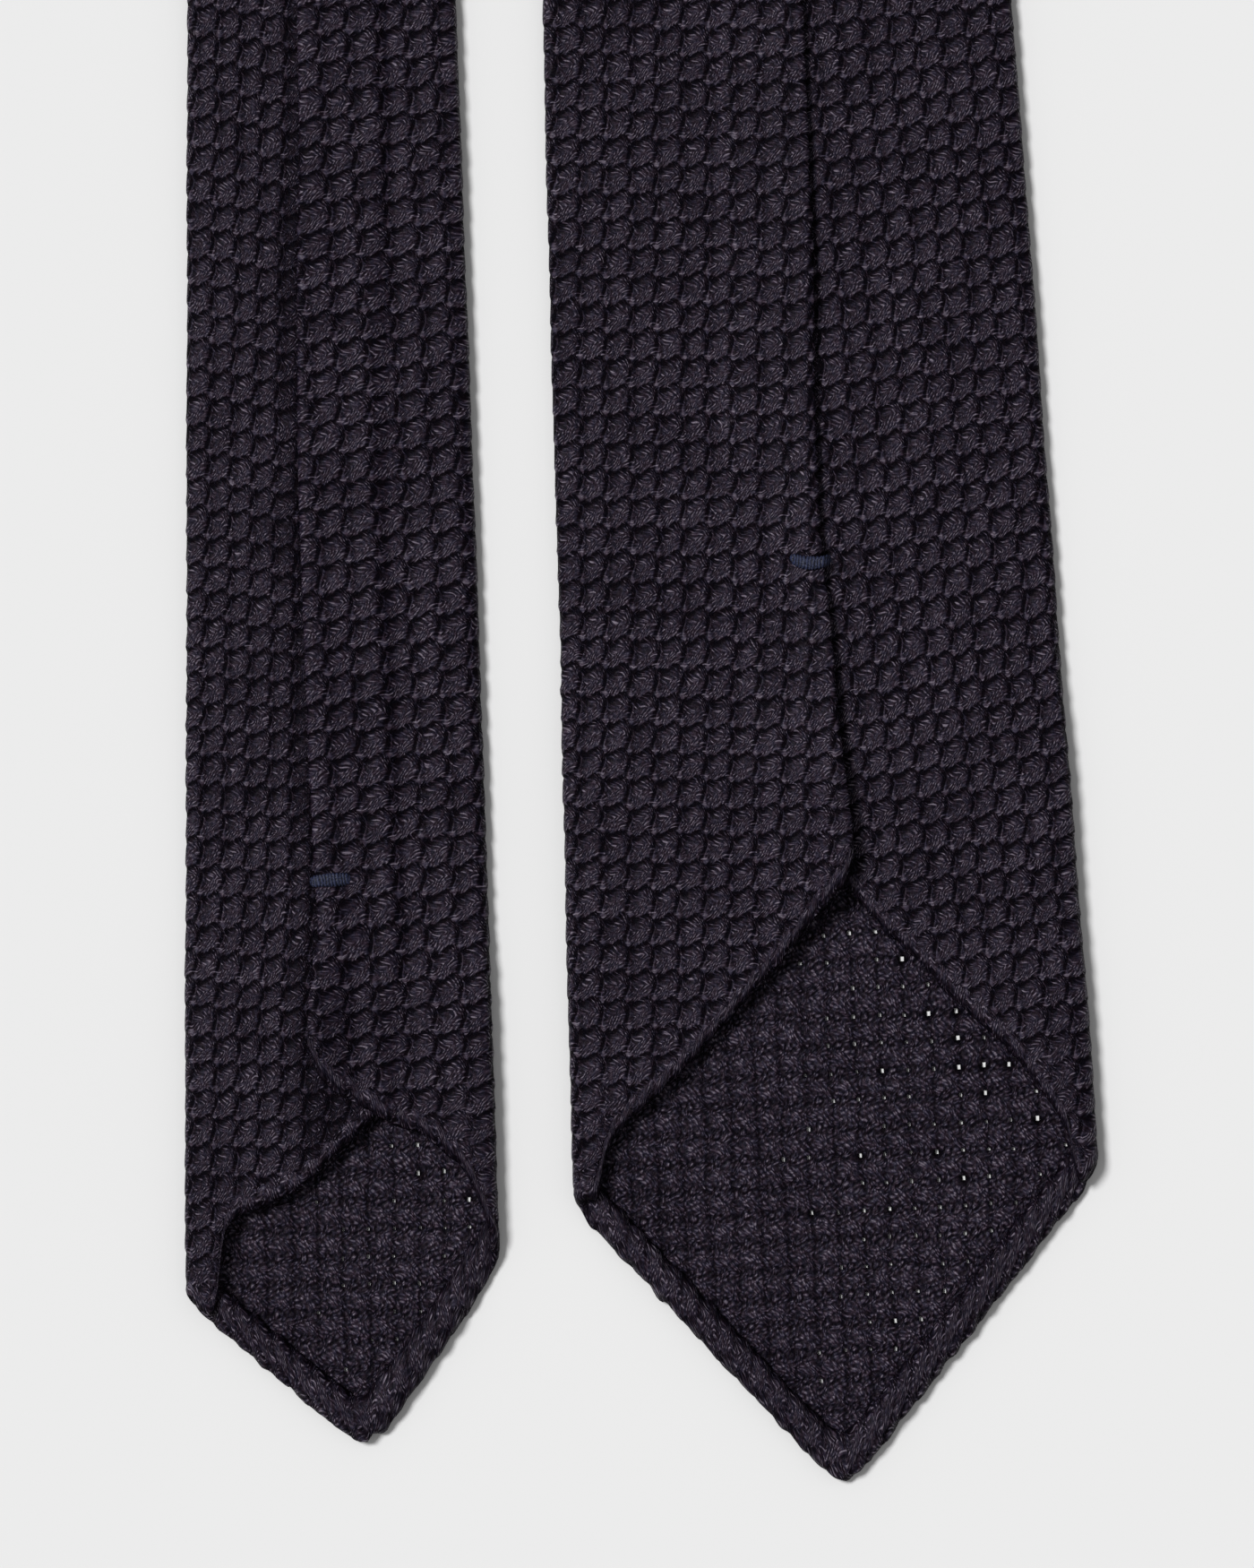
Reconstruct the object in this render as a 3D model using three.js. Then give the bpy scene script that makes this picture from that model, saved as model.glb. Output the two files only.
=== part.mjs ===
// A grenadine tie, laid flat with its back up and doubled at the neck.
// Units are millimetres. In the finished part X runs to the right, Y from the points towards the neck, Z up.
// The tie is first drawn as one straight strip: x across it, y along it from the front blade's sharp point.
// Positive x is the side whose flap lies underneath. The strip is one wall of cloth folded into a flat tube.
import * as THREE from "three";

// Cloth, and how closely its layers lie
const CLOTH = 1.0;
const LAYER_GAP = 0.3;
const FOLD_RADIUS_BODY = 1.2; // to the middle of the wall
const FOLD_RADIUS_TIP = 1.7;
const UNDERLAP = 10; // how far the lower flap reaches under the upper one
const CLIMB_FROM = 4; // the upper flap climbs onto the lower one between these distances before its edge
const CLIMB_TO = 0.8;
const SEAM_STEP = 0.6; // extra thickness of the turned-in edge of the upper flap
const SEAM_FLAT = 5;
const FLAP_CORNER_ROUND = 4;
const CORNER_EASE = 4; // the hem thins within this distance of a side fold, and where the flaps overlap
const CORNER_SHARE = 0.45;

// The neck: the strip turns back on itself over two diagonal folds.
const NECK_FOLD_AT = 710;
const BEND_RADIUS = 3.0;
const BEND_AXIS_Z = 2 * CLOTH + 2 * FOLD_RADIUS_BODY + LAYER_GAP + SEAM_STEP + LAYER_GAP / 2;
const BEND_STEPS = 8;

// Bias seams, at 45 degrees in the flat cloth, join the neck band to both blades.
const FRONT_SEAM_AT = 500;
const TAIL_SEAM_AT = 470;
const BIAS_SEAM_GAP = 0.6; // along the strip, so about 0.4 square to the seam

const degrees = THREE.MathUtils.degToRad;

// Each blade from its own sharp point: y along its axis, x as in the strip.
// A tip slope is rise over run from the point to a side fold, and a flap slope the same past that fold.
const FRONT = {
  point_at: new THREE.Vector2(0, 0),
  lean: degrees(2.885),
  apex_x: -1.05,
  apex_round: 1.0,
  tip_slope: { over: 1.167, under: 1.15 },
  flap_slope: { over: 1.007, under: 1.15 },
  fold_eases: { from: 104, to: 136 },
  straight_from: 116,
  body_rows: [128, 142, 160, 190, 228, 300, 380],
  width: [
    { y: 0, width: 76 },
    { y: 38, width: 79 },
    { y: 50, width: 80.4 },
    { y: 137, width: 76.2 },
    { y: 228, width: 71.6 },
    { y: 340, width: 62.5 },
    { y: 460, width: 50.5 },
    { y: 580, width: 41 },
    { y: 680, width: 37 },
    { y: 770, width: 36.5 },
  ],
  seam: [
    { y: 60, x: 5.2 },
    { y: 100, x: 4.7 },
    { y: 115, x: 3.6 },
    { y: 132, x: 3.0 },
    { y: 145, x: 2.1 },
    { y: 166, x: 2.5 },
    { y: 187, x: 3.1 },
    { y: 228, x: 3.5 },
    { y: 770, x: 3 },
  ],
  tack: { x: 0.8, y: 141.9, turn: degrees(-4) },
};
const TAIL = {
  point_at: new THREE.Vector2(-72.5, 5.9),
  lean: degrees(0.97),
  apex_x: -3.6,
  apex_round: 1.3,
  tip_slope: { over: 1.455, under: 0.888 },
  flap_slope: { over: 0.98, under: 0.888 },
  fold_eases: { from: 66, to: 84 },
  straight_from: 84,
  body_rows: [94, 106, 126, 153, 221, 300, 380],
  width: [
    { y: 0, width: 47.4 },
    { y: 24, width: 48.2 },
    { y: 34, width: 48.2 },
    { y: 130, width: 44.8 },
    { y: 222, width: 41.2 },
    { y: 340, width: 38.4 },
    { y: 480, width: 37 },
    { y: 770, width: 36.5 },
  ],
  seam: [
    { y: 48, x: 4.2 },
    { y: 61, x: 4.4 },
    { y: 72, x: 3.7 },
    { y: 80, x: 2.6 },
    { y: 90, x: 3.1 },
    { y: 153, x: 4.3 },
    { y: 221, x: 3.3 },
    { y: 770, x: 3 },
  ],
  tack: { x: 0.8, y: 87.2, turn: degrees(-3) },
};

// The rolled hem, by the distance from its edge: how far each face lies from the middle of the cloth.
const HEM_ROWS = [
  { edge: 0, outer: -0.25, inner: 1.1 },
  { edge: 0.35, outer: 0.3, inner: 1.65 },
  { edge: 1.2, outer: 0.5, inner: 2.0 },
  { edge: 3.6, outer: 0.5, inner: 2.0 },
  { edge: 4.7, outer: 0.5, inner: 1.5 },
  { edge: 5.3, outer: 0.5, inner: 0.5 },
];
const HEM_TO_STRAIGHT = [0.35, 0.7];

// The turned-in edge of the upper flap, by the distance from that edge.
const SEAM_COLUMNS = [
  { edge: SEAM_FLAT + 0.8, outer: 0.5, inner: 0.5 },
  { edge: SEAM_FLAT, outer: 0.5 + SEAM_STEP, inner: 0.5 },
  { edge: 0.7, outer: 0.5 + SEAM_STEP, inner: 0.5 },
  { edge: 0.2, outer: 0.3 + SEAM_STEP, inner: 0.45 },
  { edge: 0, outer: SEAM_STEP, inner: 0.3 },
];

const UNDER_SHARES = [0, 0.45, 0.9, 0.96];
const PANEL_SHARES = [0, 0.06, 0.12, 0.6, 0.95];
const CLIMB_SHARES = [0, 0.33, 0.67, 1];
const FOLD_ANGLES = [90, 60, 30, 0, -30, -60, -90].map(degrees);
const TACK = { length: 6.2, width: 1.8, thickness: 0.8, clear: 0.35, stations: 10, sides: 10 };

// The named column of a table at y, on a smooth curve through its rows
function readTable(rows, column, y) {
  const last = rows.length - 1;
  const at = THREE.MathUtils.clamp(y, rows[0].y, rows[last].y);
  const i = Math.min(rows.findLastIndex((row) => row.y <= at), last - 1);
  const slopeAt = (k) => {
    const low = rows[Math.max(k - 1, 0)];
    const high = rows[Math.min(k + 1, last)];
    return (high[column] - low[column]) / (high.y - low.y);
  };
  const step = rows[i + 1].y - rows[i].y;
  const rise = rows[i + 1][column] - rows[i][column];
  const t = (at - rows[i].y) / step;
  const bendIn = slopeAt(i) * step - rise;
  const bendOut = rise - slopeAt(i + 1) * step;
  return rows[i][column] + rise * t + t * (1 - t) * (bendIn * (1 - t) + bendOut * t);
}

// The cross-section of a blade at y, from the hidden edge of the lower flap round to the edge of the upper one.
// Each column has its place, the faces' distances from it, and its way round the cloth from the point's column.
function section(blade, y) {
  const half = readTable(blade.width, "width", y) / 2;
  const seam = readTable(blade.seam, "x", y);
  const eased = THREE.MathUtils.smoothstep(y, blade.fold_eases.from, blade.fold_eases.to);
  const radius = THREE.MathUtils.lerp(FOLD_RADIUS_TIP, FOLD_RADIUS_BODY, eased);
  const low = CLOTH / 2;
  const high = low + 2 * radius;
  const turn = half - radius - CLOTH / 2;
  const hidden = seam - UNDERLAP;
  const columns = [];
  const add = (x, z, rest = {}) => columns.push({ x, z, outer: CLOTH / 2, inner: CLOTH / 2, corner: 1, ...rest });
  const cornerAt = (distance) =>
    THREE.MathUtils.lerp(CORNER_SHARE, 1, THREE.MathUtils.smoothstep(distance, 0, CORNER_EASE));

  for (const share of UNDER_SHARES) {
    const x = THREE.MathUtils.lerp(hidden, turn, share);
    add(x, high, { corner: cornerAt(turn - x) });
  }
  for (const angle of FOLD_ANGLES) {
    add(turn + radius * Math.cos(angle), low + radius * (1 + Math.sin(angle)), { corner: CORNER_SHARE });
  }
  const panel = (share, from, to) => {
    const x = THREE.MathUtils.lerp(from, to, share);
    add(x, low, { corner: cornerAt(turn - Math.abs(x)) });
  };
  for (const share of PANEL_SHARES.slice(1)) panel(share, turn, blade.apex_x);
  const point_column = columns.length;
  panel(1, turn, blade.apex_x);
  for (const share of PANEL_SHARES.slice(1).reverse()) panel(share, -turn, blade.apex_x);
  for (const angle of FOLD_ANGLES.slice().reverse()) {
    add(-turn - radius * Math.cos(angle), low + radius * (1 + Math.sin(angle)), { corner: CORNER_SHARE });
  }
  for (const distance of [CORNER_EASE / 2, CORNER_EASE]) {
    add(-turn + distance, high, { corner: cornerAt(distance) });
  }
  for (const share of CLIMB_SHARES) {
    const x = hidden - THREE.MathUtils.lerp(CLIMB_FROM, CLIMB_TO, share);
    const climbed = THREE.MathUtils.smoothstep(share, 0, 1) * (CLOTH + LAYER_GAP);
    add(x, high + climbed, { corner: 1 - share });
  }
  for (const { edge, outer, inner } of SEAM_COLUMNS) {
    add(seam - edge, high + CLOTH + LAYER_GAP, { outer, inner, corner: 0, from_edge: edge });
  }

  columns.forEach((column, i) => {
    const before = columns[Math.max(i - 1, 0)];
    const after = columns[Math.min(i + 1, columns.length - 1)];
    const along = new THREE.Vector2(after.x - before.x, after.z - before.z).normalize();
    column.normal = new THREE.Vector2(-along.y, along.x);
    column.step = i === 0 ? 0 : Math.hypot(column.x - before.x, column.z - before.z);
  });
  let way = 0;
  for (let i = point_column; i >= 0; i--) {
    columns[i].way = way;
    way += columns[i].step;
  }
  way = 0;
  for (let i = point_column + 1; i < columns.length; i++) {
    way -= columns[i].step;
    columns[i].way = way;
  }
  const fold_way = turn + (Math.PI / 2) * radius;
  columns.fold_way = { under: fold_way - blade.apex_x, over: fold_way + blade.apex_x };
  return columns;
}

const COLUMN_COUNT = section(FRONT, 0).length;

// The cut edge of the tip at one column: how high it lies, and its slope there
function tipEdge(blade, i) {
  const found = { y: 0, slope: 0 };
  for (let pass = 0; pass < 6; pass++) {
    const columns = section(blade, found.y);
    const { way, from_edge } = columns[i];
    const side = way > 0 ? "under" : "over";
    const rounded = Math.hypot(way, blade.apex_round);
    const past = Math.max(rounded - columns.fold_way[side], 0);
    const { [side]: tip } = blade.tip_slope;
    const { [side]: flap } = blade.flap_slope;
    found.y = tip * (rounded - past) + flap * past;
    found.slope = past > 0 ? flap : tip;
    if (from_edge < FLAP_CORNER_ROUND) {
      const left = 1 - from_edge / FLAP_CORNER_ROUND;
      found.y += FLAP_CORNER_ROUND * (1 - Math.sqrt(1 - left * left));
    }
  }
  return found;
}

// The neck's two fold lines, and the strip's length, from where the axes of both blades run
const axisStart = (blade, side) =>
  new THREE.Vector2(-side * blade.apex_x, 0).rotateAround(new THREE.Vector2(), blade.lean).add(blade.point_at);
const upAxis = (blade) => new THREE.Vector2(-Math.sin(blade.lean), Math.cos(blade.lean));
const frontStart = axisStart(FRONT, 1);
const tailStart = axisStart(TAIL, -1);
const frontCorner = upAxis(FRONT).multiplyScalar(NECK_FOLD_AT).add(frontStart);
const tailReach = (frontCorner.y - tailStart.y) / upAxis(TAIL).y;
const tailCorner = upAxis(TAIL).multiplyScalar(tailReach).add(tailStart);
const BENDS = [
  { at: NECK_FOLD_AT, slope: Math.tan(degrees(135) - FRONT.lean / 2) },
  { at: NECK_FOLD_AT + frontCorner.x - tailCorner.x, slope: Math.tan(degrees(45) - TAIL.lean / 2) },
];
const STRIP_LENGTH = BENDS[1].at + tailReach;
const STRIP_MIDDLE = (BENDS[0].at + BENDS[1].at) / 2;
const HALF_BEND = (Math.PI * BEND_RADIUS) / 2;

// Rolls the strip beyond one fold line over onto itself.
function bendOver(point, bend) {
  const steep = Math.hypot(1, bend.slope);
  const beyond = (point.y - bend.at - bend.slope * point.x) / steep;
  if (beyond <= -HALF_BEND) return;
  const angle = Math.min((beyond + HALF_BEND) / BEND_RADIUS, Math.PI);
  const reach = BEND_AXIS_Z - point.z;
  const rest = Math.max(beyond - HALF_BEND, 0);
  const moved = -HALF_BEND + reach * Math.sin(angle) - rest - beyond;
  point.x -= (moved * bend.slope) / steep;
  point.y += moved / steep;
  point.z = BEND_AXIS_Z - reach * Math.cos(angle);
}

// From the straight strip to the tie as it lies
function lay(point) {
  bendOver(point, BENDS[1]);
  bendOver(point, BENDS[0]);
  point.applyAxisAngle(new THREE.Vector3(0, 0, 1), FRONT.lean);
  point.x += frontStart.x;
  point.y += frontStart.y;
  return point;
}

const bladeAt = (y) =>
  y < STRIP_MIDDLE ? { blade: FRONT, own_y: y, way: 1 } : { blade: TAIL, own_y: STRIP_LENGTH - y, way: -1 };

// A grid node of the strip: both faces of the cloth at a column and a height, already laid in place
function node(i, y, hem = {}) {
  const { blade, own_y } = bladeAt(y);
  const column = section(blade, own_y)[i];
  const outer = hem.outer === undefined ? column.outer : column.outer - CLOTH / 2 + hem.outer;
  const inner = hem.inner === undefined ? column.inner : column.inner + (hem.inner - CLOTH / 2) * column.corner;
  const face = (away) =>
    lay(new THREE.Vector3(column.x + away * column.normal.x, y, column.z + away * column.normal.y));
  return { outer: face(outer), inner: face(-inner) };
}

// A row of the strip, its height given per column
function row(heightAt, hem) {
  return Array.from({ length: COLUMN_COUNT }, (_, i) => node(i, heightAt(i), hem));
}

// A closed wall between the outer and inner faces of a grid of nodes
function wall(rows) {
  const across = rows[0].length;
  const count = rows.length * across;
  const position = [];
  for (const side of ["outer", "inner"]) {
    for (const nodes of rows) for (const each of nodes) position.push(...each[side].toArray());
  }
  const outer = (r, c) => r * across + c;
  const inner = (r, c) => count + outer(r, c);
  const index = [];
  const quad = (a, b, c, d) => index.push(a, c, b, a, d, c);
  for (let r = 0; r + 1 < rows.length; r++) {
    for (let c = 0; c + 1 < across; c++) {
      quad(outer(r, c), outer(r + 1, c), outer(r + 1, c + 1), outer(r, c + 1));
      quad(inner(r, c), inner(r, c + 1), inner(r + 1, c + 1), inner(r + 1, c));
    }
    quad(outer(r, 0), inner(r, 0), inner(r + 1, 0), outer(r + 1, 0));
    quad(outer(r + 1, across - 1), inner(r + 1, across - 1), inner(r, across - 1), outer(r, across - 1));
  }
  for (let c = 0; c + 1 < across; c++) {
    const end = rows.length - 1;
    quad(outer(0, c + 1), inner(0, c + 1), inner(0, c), outer(0, c));
    quad(outer(end, c), inner(end, c), inner(end, c + 1), outer(end, c + 1));
  }
  return geometry(position, index);
}

function geometry(position, index) {
  const built = new THREE.BufferGeometry();
  built.setAttribute("position", new THREE.Float32BufferAttribute(position, 3));
  built.setIndex(index);
  return built;
}

// A blade: hem rows along its tip edge, rows that straighten, body rows, and the bias seam
function bladeWall(blade, seam_at, toStrip) {
  const edges = Array.from({ length: COLUMN_COUNT }, (_, i) => tipEdge(blade, i));
  const hemHeight = (edge) => (i) => edges[i].y + edge * Math.hypot(1, edges[i].slope);
  const rows = HEM_ROWS.map(({ edge, ...hem }) => row((i) => toStrip(hemHeight(edge)(i)), hem));
  const hem_top = hemHeight(HEM_ROWS[HEM_ROWS.length - 1].edge);
  for (const share of [...HEM_TO_STRAIGHT, 1]) {
    rows.push(row((i) => toStrip(THREE.MathUtils.lerp(hem_top(i), blade.straight_from, share))));
  }
  for (const y of blade.body_rows) rows.push(row(() => toStrip(y)));
  rows.push(row((i) => toStrip(biasHeight(blade, seam_at, i) - BIAS_SEAM_GAP / 2)));
  return rows;
}

const biasHeight = (blade, seam_at, i) => seam_at + section(blade, seam_at)[i].way;
const fromFront = (y) => y;
const fromTail = (y) => STRIP_LENGTH - y;

// The neck band, from one bias seam over both bends to the other
function neckWall() {
  const rows = [
    row((i) => fromFront(biasHeight(FRONT, FRONT_SEAM_AT, i) + BIAS_SEAM_GAP / 2)),
    row(() => fromFront(NECK_FOLD_AT - 80)),
  ];
  for (const bend of BENDS) {
    for (let step = 0; step <= BEND_STEPS; step++) {
      const beyond = HALF_BEND * ((2 * step) / BEND_STEPS - 1);
      const { blade, own_y } = bladeAt(bend.at);
      const columns = section(blade, own_y);
      rows.push(row((i) => bend.at + bend.slope * columns[i].x + beyond * Math.hypot(1, bend.slope)));
    }
  }
  rows.push(row(() => fromTail(tailReach - 80)));
  rows.push(row((i) => fromTail(biasHeight(TAIL, TAIL_SEAM_AT, i) + BIAS_SEAM_GAP / 2)));
  return wall(rows);
}

// A bar tack: a flat bar of thread across the seam, its far end dipping towards the lower flap
function barTack(blade, toStrip) {
  const { x, y, turn } = blade.tack;
  const columns = section(blade, y);
  const seam = columns[columns.length - 1];
  const flap_top = seam.z + CLOTH / 2 + SEAM_STEP;
  const clear_z = flap_top + TACK.clear + TACK.thickness / 2;
  const position = [];
  const index = [];
  const ringPoint = (station, side) => {
    const along = -Math.cos((Math.PI * station) / TACK.stations);
    const full = Math.sqrt(1 - Math.abs(along) ** 5);
    const angle = (2 * Math.PI * side) / TACK.sides;
    const run = (along * TACK.length) / 2;
    const out = (full * TACK.width * Math.cos(angle)) / 2;
    const at_x = x + run * Math.cos(turn) - out * Math.sin(turn);
    const past_seam = Math.max(at_x - seam.x - TACK.clear, 0);
    const at_z = clear_z - 0.45 * past_seam + (full * TACK.thickness * Math.sin(angle)) / 2;
    return lay(new THREE.Vector3(at_x, toStrip(y + run * Math.sin(turn) + out * Math.cos(turn)), at_z));
  };
  position.push(...ringPoint(0, 0).toArray());
  for (let station = 1; station < TACK.stations; station++) {
    for (let side = 0; side < TACK.sides; side++) position.push(...ringPoint(station, side).toArray());
  }
  position.push(...ringPoint(TACK.stations, 0).toArray());
  const ring = (station, side) => 1 + (station - 1) * TACK.sides + (side % TACK.sides);
  const end = position.length / 3 - 1;
  for (let side = 0; side < TACK.sides; side++) {
    index.push(0, ring(1, side + 1), ring(1, side));
    index.push(end, ring(TACK.stations - 1, side), ring(TACK.stations - 1, side + 1));
    for (let station = 1; station < TACK.stations - 1; station++) {
      const near = [ring(station, side), ring(station, side + 1)];
      const far = [ring(station + 1, side), ring(station + 1, side + 1)];
      index.push(near[0], near[1], far[1], near[0], far[1], far[0]);
    }
  }
  return geometry(position, index);
}

// Turns every triangle round, for a solid whose grid ran the other way.
function turnedRound(solid) {
  const index = solid.getIndex().array;
  for (let i = 0; i < index.length; i += 3) [index[i + 1], index[i + 2]] = [index[i + 2], index[i + 1]];
  return solid;
}

const CLOTH_COLOUR = "#1d1c26";
const THREAD_COLOUR = "#252c44";
const tail_rows = bladeWall(TAIL, TAIL_SEAM_AT, fromTail);
const solids = [
  { name: "front_blade", colour: CLOTH_COLOUR, solid: wall(bladeWall(FRONT, FRONT_SEAM_AT, fromFront)) },
  { name: "neck_band", colour: CLOTH_COLOUR, solid: neckWall() },
  { name: "tail_blade", colour: CLOTH_COLOUR, solid: turnedRound(wall(tail_rows)) },
  { name: "front_bar_tack", colour: THREAD_COLOUR, solid: barTack(FRONT, fromFront) },
  { name: "tail_bar_tack", colour: THREAD_COLOUR, solid: turnedRound(barTack(TAIL, fromTail)) },
];

// The origin is under the middle of the whole tie, on the surface it lies on.
const box = new THREE.Box3();
for (const { solid } of solids) box.union(new THREE.Box3().setFromBufferAttribute(solid.getAttribute("position")));
const middle = box.getCenter(new THREE.Vector3());

const group = new THREE.Group();
for (const { name, colour, solid } of solids) {
  solid.translate(-middle.x, -middle.y, -box.min.z);
  const mesh = new THREE.Mesh(solid, new THREE.MeshStandardMaterial({ color: colour, roughness: 0.9 }));
  mesh.name = name;
  group.add(mesh);
}

export default group;
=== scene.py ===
# A grenadine tie lying flat with its back up, seen from straight above.
# Lengths are millimetres until a finished piece is written, when they become metres.
import math

import bmesh
import bpy
import numpy as np
from mathutils import Matrix


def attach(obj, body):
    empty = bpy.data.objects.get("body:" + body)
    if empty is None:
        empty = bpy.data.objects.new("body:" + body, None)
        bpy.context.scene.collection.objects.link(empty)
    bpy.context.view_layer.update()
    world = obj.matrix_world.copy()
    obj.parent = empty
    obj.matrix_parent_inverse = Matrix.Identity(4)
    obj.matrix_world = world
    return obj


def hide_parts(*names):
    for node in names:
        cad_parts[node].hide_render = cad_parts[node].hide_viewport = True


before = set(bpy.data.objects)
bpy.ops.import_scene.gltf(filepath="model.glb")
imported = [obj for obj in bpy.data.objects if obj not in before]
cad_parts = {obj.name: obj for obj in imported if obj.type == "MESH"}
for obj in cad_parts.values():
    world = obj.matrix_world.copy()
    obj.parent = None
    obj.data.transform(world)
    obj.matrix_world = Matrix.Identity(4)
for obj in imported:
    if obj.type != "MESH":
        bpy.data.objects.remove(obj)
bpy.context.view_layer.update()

# The strip: x across it, y along it from the front blade's sharp point, as in the CAD part.
# Positive x is the side whose flap lies underneath. A blade's own y counts from its own point.
# A distance across the flat cloth, before it is folded, is called u.
CLOTH = 1.0  # thickness
FOLD_RADIUS_BODY = 1.2
FOLD_RADIUS_TIP = 1.7
UNDERLAP = 10.0  # how far the lower flap reaches under the upper one
CLIMB_FROM = 4.0  # how far before the lower flap's hidden edge the upper flap starts to climb onto it
CLIMB_TO = 0.8
CLIMB = 1.3
SEAM_RISE = 0.6  # how much further the upper flap stands up beside its turned edge
SEAM_FLAT = 5.0
CORNER_ROUND = 4.0  # where the seam turns into the upper flap's hem
CORNER_EASE = 4.0
CORNER_SHARE = 0.45  # how thick the hem stays at the side folds
EDGE_ROLL = 0.5  # radius of the upper flap's turned edge, to the middle of the cloth
EDGE_TURNED_IN = 2.2
STRIP_LENGTH = 1466.7356
STRIP_MIDDLE = 736.66
BENDS = [(710.0, -1.05166), (763.3208, 0.98321)]  # the neck's two fold lines: y on the axis, and slope
BEND_RADIUS = 3.0
BEND_AXIS_Z = 5.45
LEAN = math.radians(2.885)
START = (1.04867, 0.05285)  # the strip's own start, and the middle of the tie's outline as it lies
MIDDLE = (-33.83875, 364.50909)
FRONT_SEAM_AT = 500.0
TAIL_SEAM_AT = 470.0
BIAS_GAP = 0.3  # between the two cloths at a bias seam
EDGE_INSET = 1.4  # how far inside the rolled hem's edge the cloth itself ends
FINE_LENGTH = 240.0  # how much of each blade has the finer mesh, a little more than the photo shows

# The two blades. A pair gives the side of the upper flap first, then the side of the lower one.
# Rows pair a place with a value: width and seam by the blade's own y, and flap_rise by the distance
# past the side fold. The tack is given by where it lies and how it is turned, and its bow by how far
# its ends and its middle stand off that line. Openness is how readily the holes at the point stand open.
FRONT = {
    "name": "front",
    "origin": 0.0,
    "way": 1.0,
    "apex": -1.05,
    "apex_round": (1.6, 0.56),
    "tip_slope": (1.167, 1.15),
    "flap_slope": (1.007, 1.15),
    "flap_rise": (
        [(0, 0), (2, -1.6), (4.0, -3.0), (4.7, -2.2), (5.5, 0.6), (6.6, 2.4), (9, 3.0), (14, 2.2), (20, 2.0),
         (33, 2.8), (40, 4.4), (44, 3.6), (50, 3.6)],
        [(0, 0), (2, -3.4), (3.6, -6.0), (4.2, -5.0), (5.0, -0.6), (7, 1.3), (9.4, 2.4), (13, 3.6), (18, 3.0),
         (26, 3.4), (31, 3.2), (36, 4.2), (50, 4.2)],
    ),
    "hem_width": (0.96, 1.0),
    "openness": 1.0,
    "eases": (104.0, 136.0),
    "steady_from": 90.0,
    "width": [(0, 76), (38, 79), (50, 80.4), (137, 76.2), (228, 71.6), (340, 62.5), (460, 50.5),
              (580, 41), (680, 37), (770, 36.5)],
    "seam": [(60, 5.2), (100, 4.7), (115, 3.6), (132, 3.0), (145, 2.1), (166, 2.5), (187, 3.1),
             (228, 3.5), (770, 3)],
    "tack": (0.8, 141.9, math.radians(-4)),
    "tack_bow": (0.25, -0.75),
}
TAIL = {
    "name": "tail",
    "origin": STRIP_LENGTH,
    "way": -1.0,
    "apex": -3.6,
    "apex_round": (2.6, 1.45),
    "tip_slope": (1.455, 0.888),
    "flap_slope": (0.98, 0.888),
    "flap_rise": (
        [(0, 0.5), (2.2, 3.8), (4.2, 7.2), (6.2, 9.0), (11.5, 8.4), (19.7, 4.3), (22.4, 3.7), (27, 2.2),
         (40, 2)],
        [(0, 0), (2, -3.0), (4.6, -6.6), (5.4, -4.5), (6.2, 1.5), (7.2, 4.2), (8.8, 4.6), (12.8, 2.6),
         (18.4, 0.5), (22.5, 0.8), (36, 2.2)],
    ),
    "hem_width": (1.0, 1.0),
    "openness": 0.8,
    "eases": (66.0, 84.0),
    "steady_from": 60.0,
    "width": [(0, 47.4), (24, 48.2), (34, 48.2), (130, 44.8), (222, 41.2), (340, 38.4), (480, 37),
              (770, 36.5)],
    "seam": [(48, 4.2), (61, 4.4), (72, 3.7), (80, 2.6), (90, 3.1), (153, 4.3), (221, 3.3), (770, 3)],
    "tack": (0.8, 87.2, math.radians(-3)),
    "tack_bow": (0.0, 0.10),
}


def read_table(rows, y):
    """A smooth curve through the rows of a table."""
    ys = np.array([row[0] for row in rows], float)
    values = np.array([row[1] for row in rows], float)
    last = len(rows) - 1
    at = np.clip(y, ys[0], ys[-1])
    i = np.clip(np.searchsorted(ys, at, side="right") - 1, 0, last - 1)
    k = np.arange(last + 1)
    low = np.maximum(k - 1, 0)
    high = np.minimum(k + 1, last)
    slope = (values[high] - values[low]) / (ys[high] - ys[low])
    step = ys[i + 1] - ys[i]
    rise = values[i + 1] - values[i]
    t = (at - ys[i]) / step
    bend_in = slope[i] * step - rise
    bend_out = rise - slope[i + 1] * step
    return values[i] + rise * t + t * (1 - t) * (bend_in * (1 - t) + bend_out * t)


def ease(value, low=0.0, high=1.0):
    """Rises smoothly from 0 at low to 1 at high."""
    t = np.clip((value - low) / (high - low), 0, 1)
    return t * t * (3 - 2 * t)


def by_blade(y, from_front, from_tail):
    """A value along the strip, from whichever blade is nearer."""
    return np.where(y < STRIP_MIDDLE, from_front(y), from_tail(STRIP_LENGTH - y))


def blade_half(blade):
    return lambda own: read_table(blade["width"], own) / 2


def blade_radius(blade):
    return lambda own: FOLD_RADIUS_TIP + (FOLD_RADIUS_BODY - FOLD_RADIUS_TIP) * ease(own, *blade["eases"])


def half_width(y):
    return by_blade(y, blade_half(FRONT), blade_half(TAIL))


def fold_radius(y):
    return by_blade(y, blade_radius(FRONT), blade_radius(TAIL))


def seam_x(y):
    return by_blade(
        y, lambda own: read_table(FRONT["seam"], own), lambda own: read_table(TAIL["seam"], own)
    )


def fold_x(y):
    """How far from the axis the cloth turns round a side fold, measured in the flat cloth."""
    radius = fold_radius(y)
    return half_width(y) - radius - CLOTH / 2 + radius * math.pi / 2


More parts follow.
